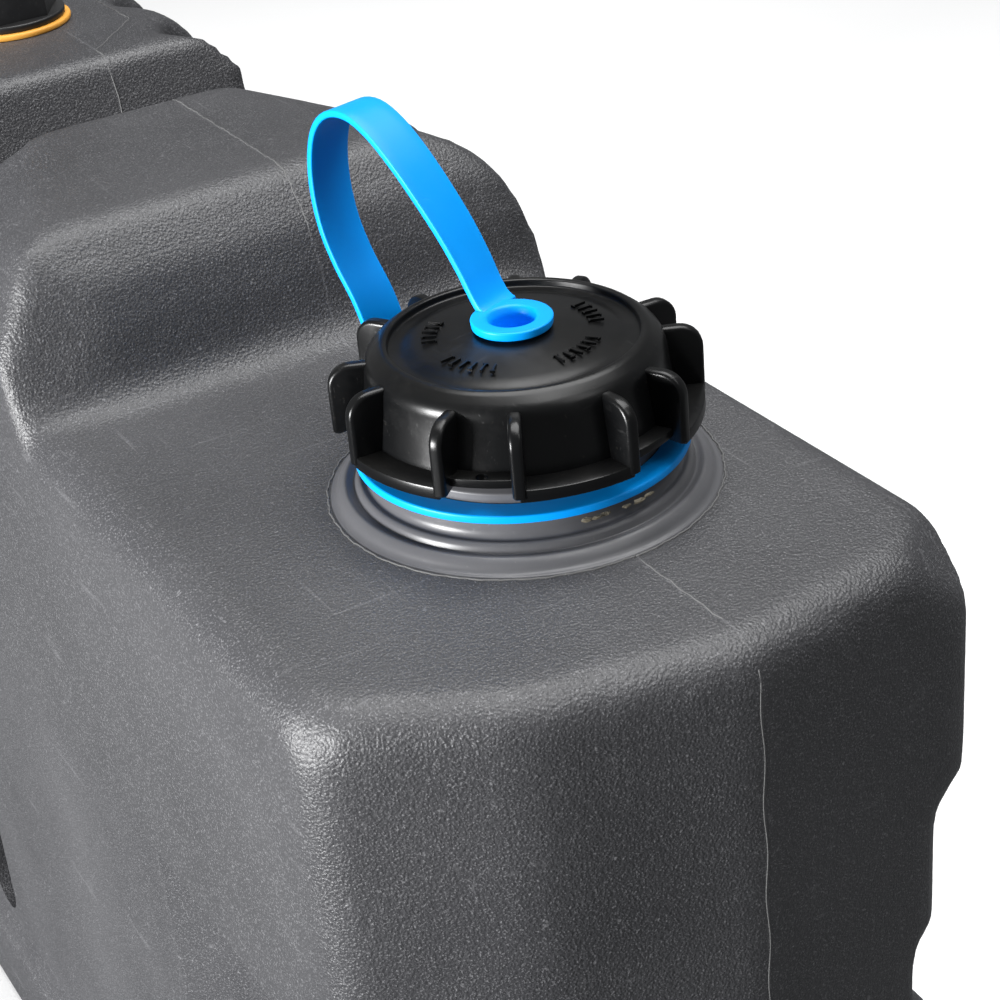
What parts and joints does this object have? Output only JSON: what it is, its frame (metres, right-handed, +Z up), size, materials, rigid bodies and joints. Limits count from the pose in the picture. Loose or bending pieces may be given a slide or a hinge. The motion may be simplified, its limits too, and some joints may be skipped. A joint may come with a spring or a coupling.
{
  "type": "fresh water tank",
  "caption": "Slim upright moulded water tank with a stepped top, strap grooves, a tethered wide screw cap and plugged threaded ports.",
  "frame": {"origin": "middle of the underside, on the plane the tank stands on", "axes": "+X along the tank towards the filler cap, +Y across its thickness, +Z up"},
  "size_m": [1.006, 0.2, 0.508],
  "materials": {
    "tank_grey": "moulded grey polyethylene, fine leather grain",
    "neck_grey": "smooth satin grey polyethylene",
    "cap_black": "glossy black plastic, lightly worn",
    "tether_blue": "satin blue soft plastic",
    "gasket_rubber": "matt black rubber",
    "insert_brass": "machined brass",
    "plug_black": "satin black glass-filled plastic",
    "washer_amber": "amber rubber, satin"
  },
  "bodies": {
    "tank": {"tank_shell": "tank_grey", "filler_neck": "neck_grey", "top_port_insert": "insert_brass", "front_port_insert": "insert_brass", "rear_port_insert": "insert_brass"},
    "cap_seal": {"cap_gasket": "gasket_rubber"},
    "cap": {"filler_cap": "cap_black"},
    "tether": {"tether_ring": "tether_blue", "tether_strap": "tether_blue"},
    "eyelet": {"tether_eyelet": "tether_blue"},
    "top_washer_body": {"top_plug_washer": "washer_amber"},
    "top_plug_body": {"top_plug": "plug_black"},
    "front_washer_body": {"front_plug_washer": "washer_amber"},
    "front_plug_body": {"front_plug": "plug_black"},
    "rear_washer_body": {"rear_plug_washer": "washer_amber"},
    "rear_plug_body": {"rear_plug": "plug_black"}
  },
  "joints": [
    {"name": "cap_lift", "type": "slide", "parent": "tank", "child": "cap_seal", "axis": [0, 0, 1], "range_m": [0, 0.0106]},
    {"name": "cap_turn", "type": "hinge", "parent": "cap_seal", "child": "cap", "pos_m": [0.3848, 0.0143, 0.4478], "axis": [0, 0, 1], "range_deg": [0, 630]},
    {"name": "tether_swing", "type": "hinge", "parent": "tank", "child": "tether", "pos_m": [0.3848, 0.0143, 0.4139], "axis": [0, 0, 1], "continuous": true},
    {"name": "eyelet_lift", "type": "slide", "parent": "tether", "child": "eyelet", "axis": [0, 0, 1], "range_m": [0, 0.0106], "deforming": ["tether_strap"]},
    {"name": "top_plug_lift", "type": "slide", "parent": "tank", "child": "top_washer_body", "axis": [0, 0, 1], "range_m": [0, 0.0116]},
    {"name": "top_plug_turn", "type": "hinge", "parent": "top_washer_body", "child": "top_plug_body", "pos_m": [0, 0, 0.455], "axis": [0, 0, 1], "range_deg": [0, 1800]},
    {"name": "front_plug_lift", "type": "slide", "parent": "tank", "child": "front_washer_body", "axis": [1, 0, 0], "range_m": [0, 0.0116]},
    {"name": "front_plug_turn", "type": "hinge", "parent": "front_washer_body", "child": "front_plug_body", "pos_m": [0.481, 0.0143, 0.048], "axis": [1, 0, 0], "range_deg": [0, 1800]},
    {"name": "rear_plug_lift", "type": "slide", "parent": "tank", "child": "rear_washer_body", "axis": [-1, 0, 0], "range_m": [0, 0.0116]},
    {"name": "rear_plug_turn", "type": "hinge", "parent": "rear_washer_body", "child": "rear_plug_body", "pos_m": [-0.481, 0.0143, 0.048], "axis": [-1, 0, 0], "range_deg": [0, 1800]}
  ],
  "couplings": [
    {"joint": "cap_lift", "follows": "cap_turn", "m_per_rad": 0.00095493},
    {"joint": "eyelet_lift", "follows": "cap_turn", "m_per_rad": 0.00095493},
    {"joint": "top_plug_lift", "follows": "top_plug_turn", "m_per_rad": 0.00036749},
    {"joint": "front_plug_lift", "follows": "front_plug_turn", "m_per_rad": 0.00036749},
    {"joint": "rear_plug_lift", "follows": "rear_plug_turn", "m_per_rad": 0.00036749}
  ]
}
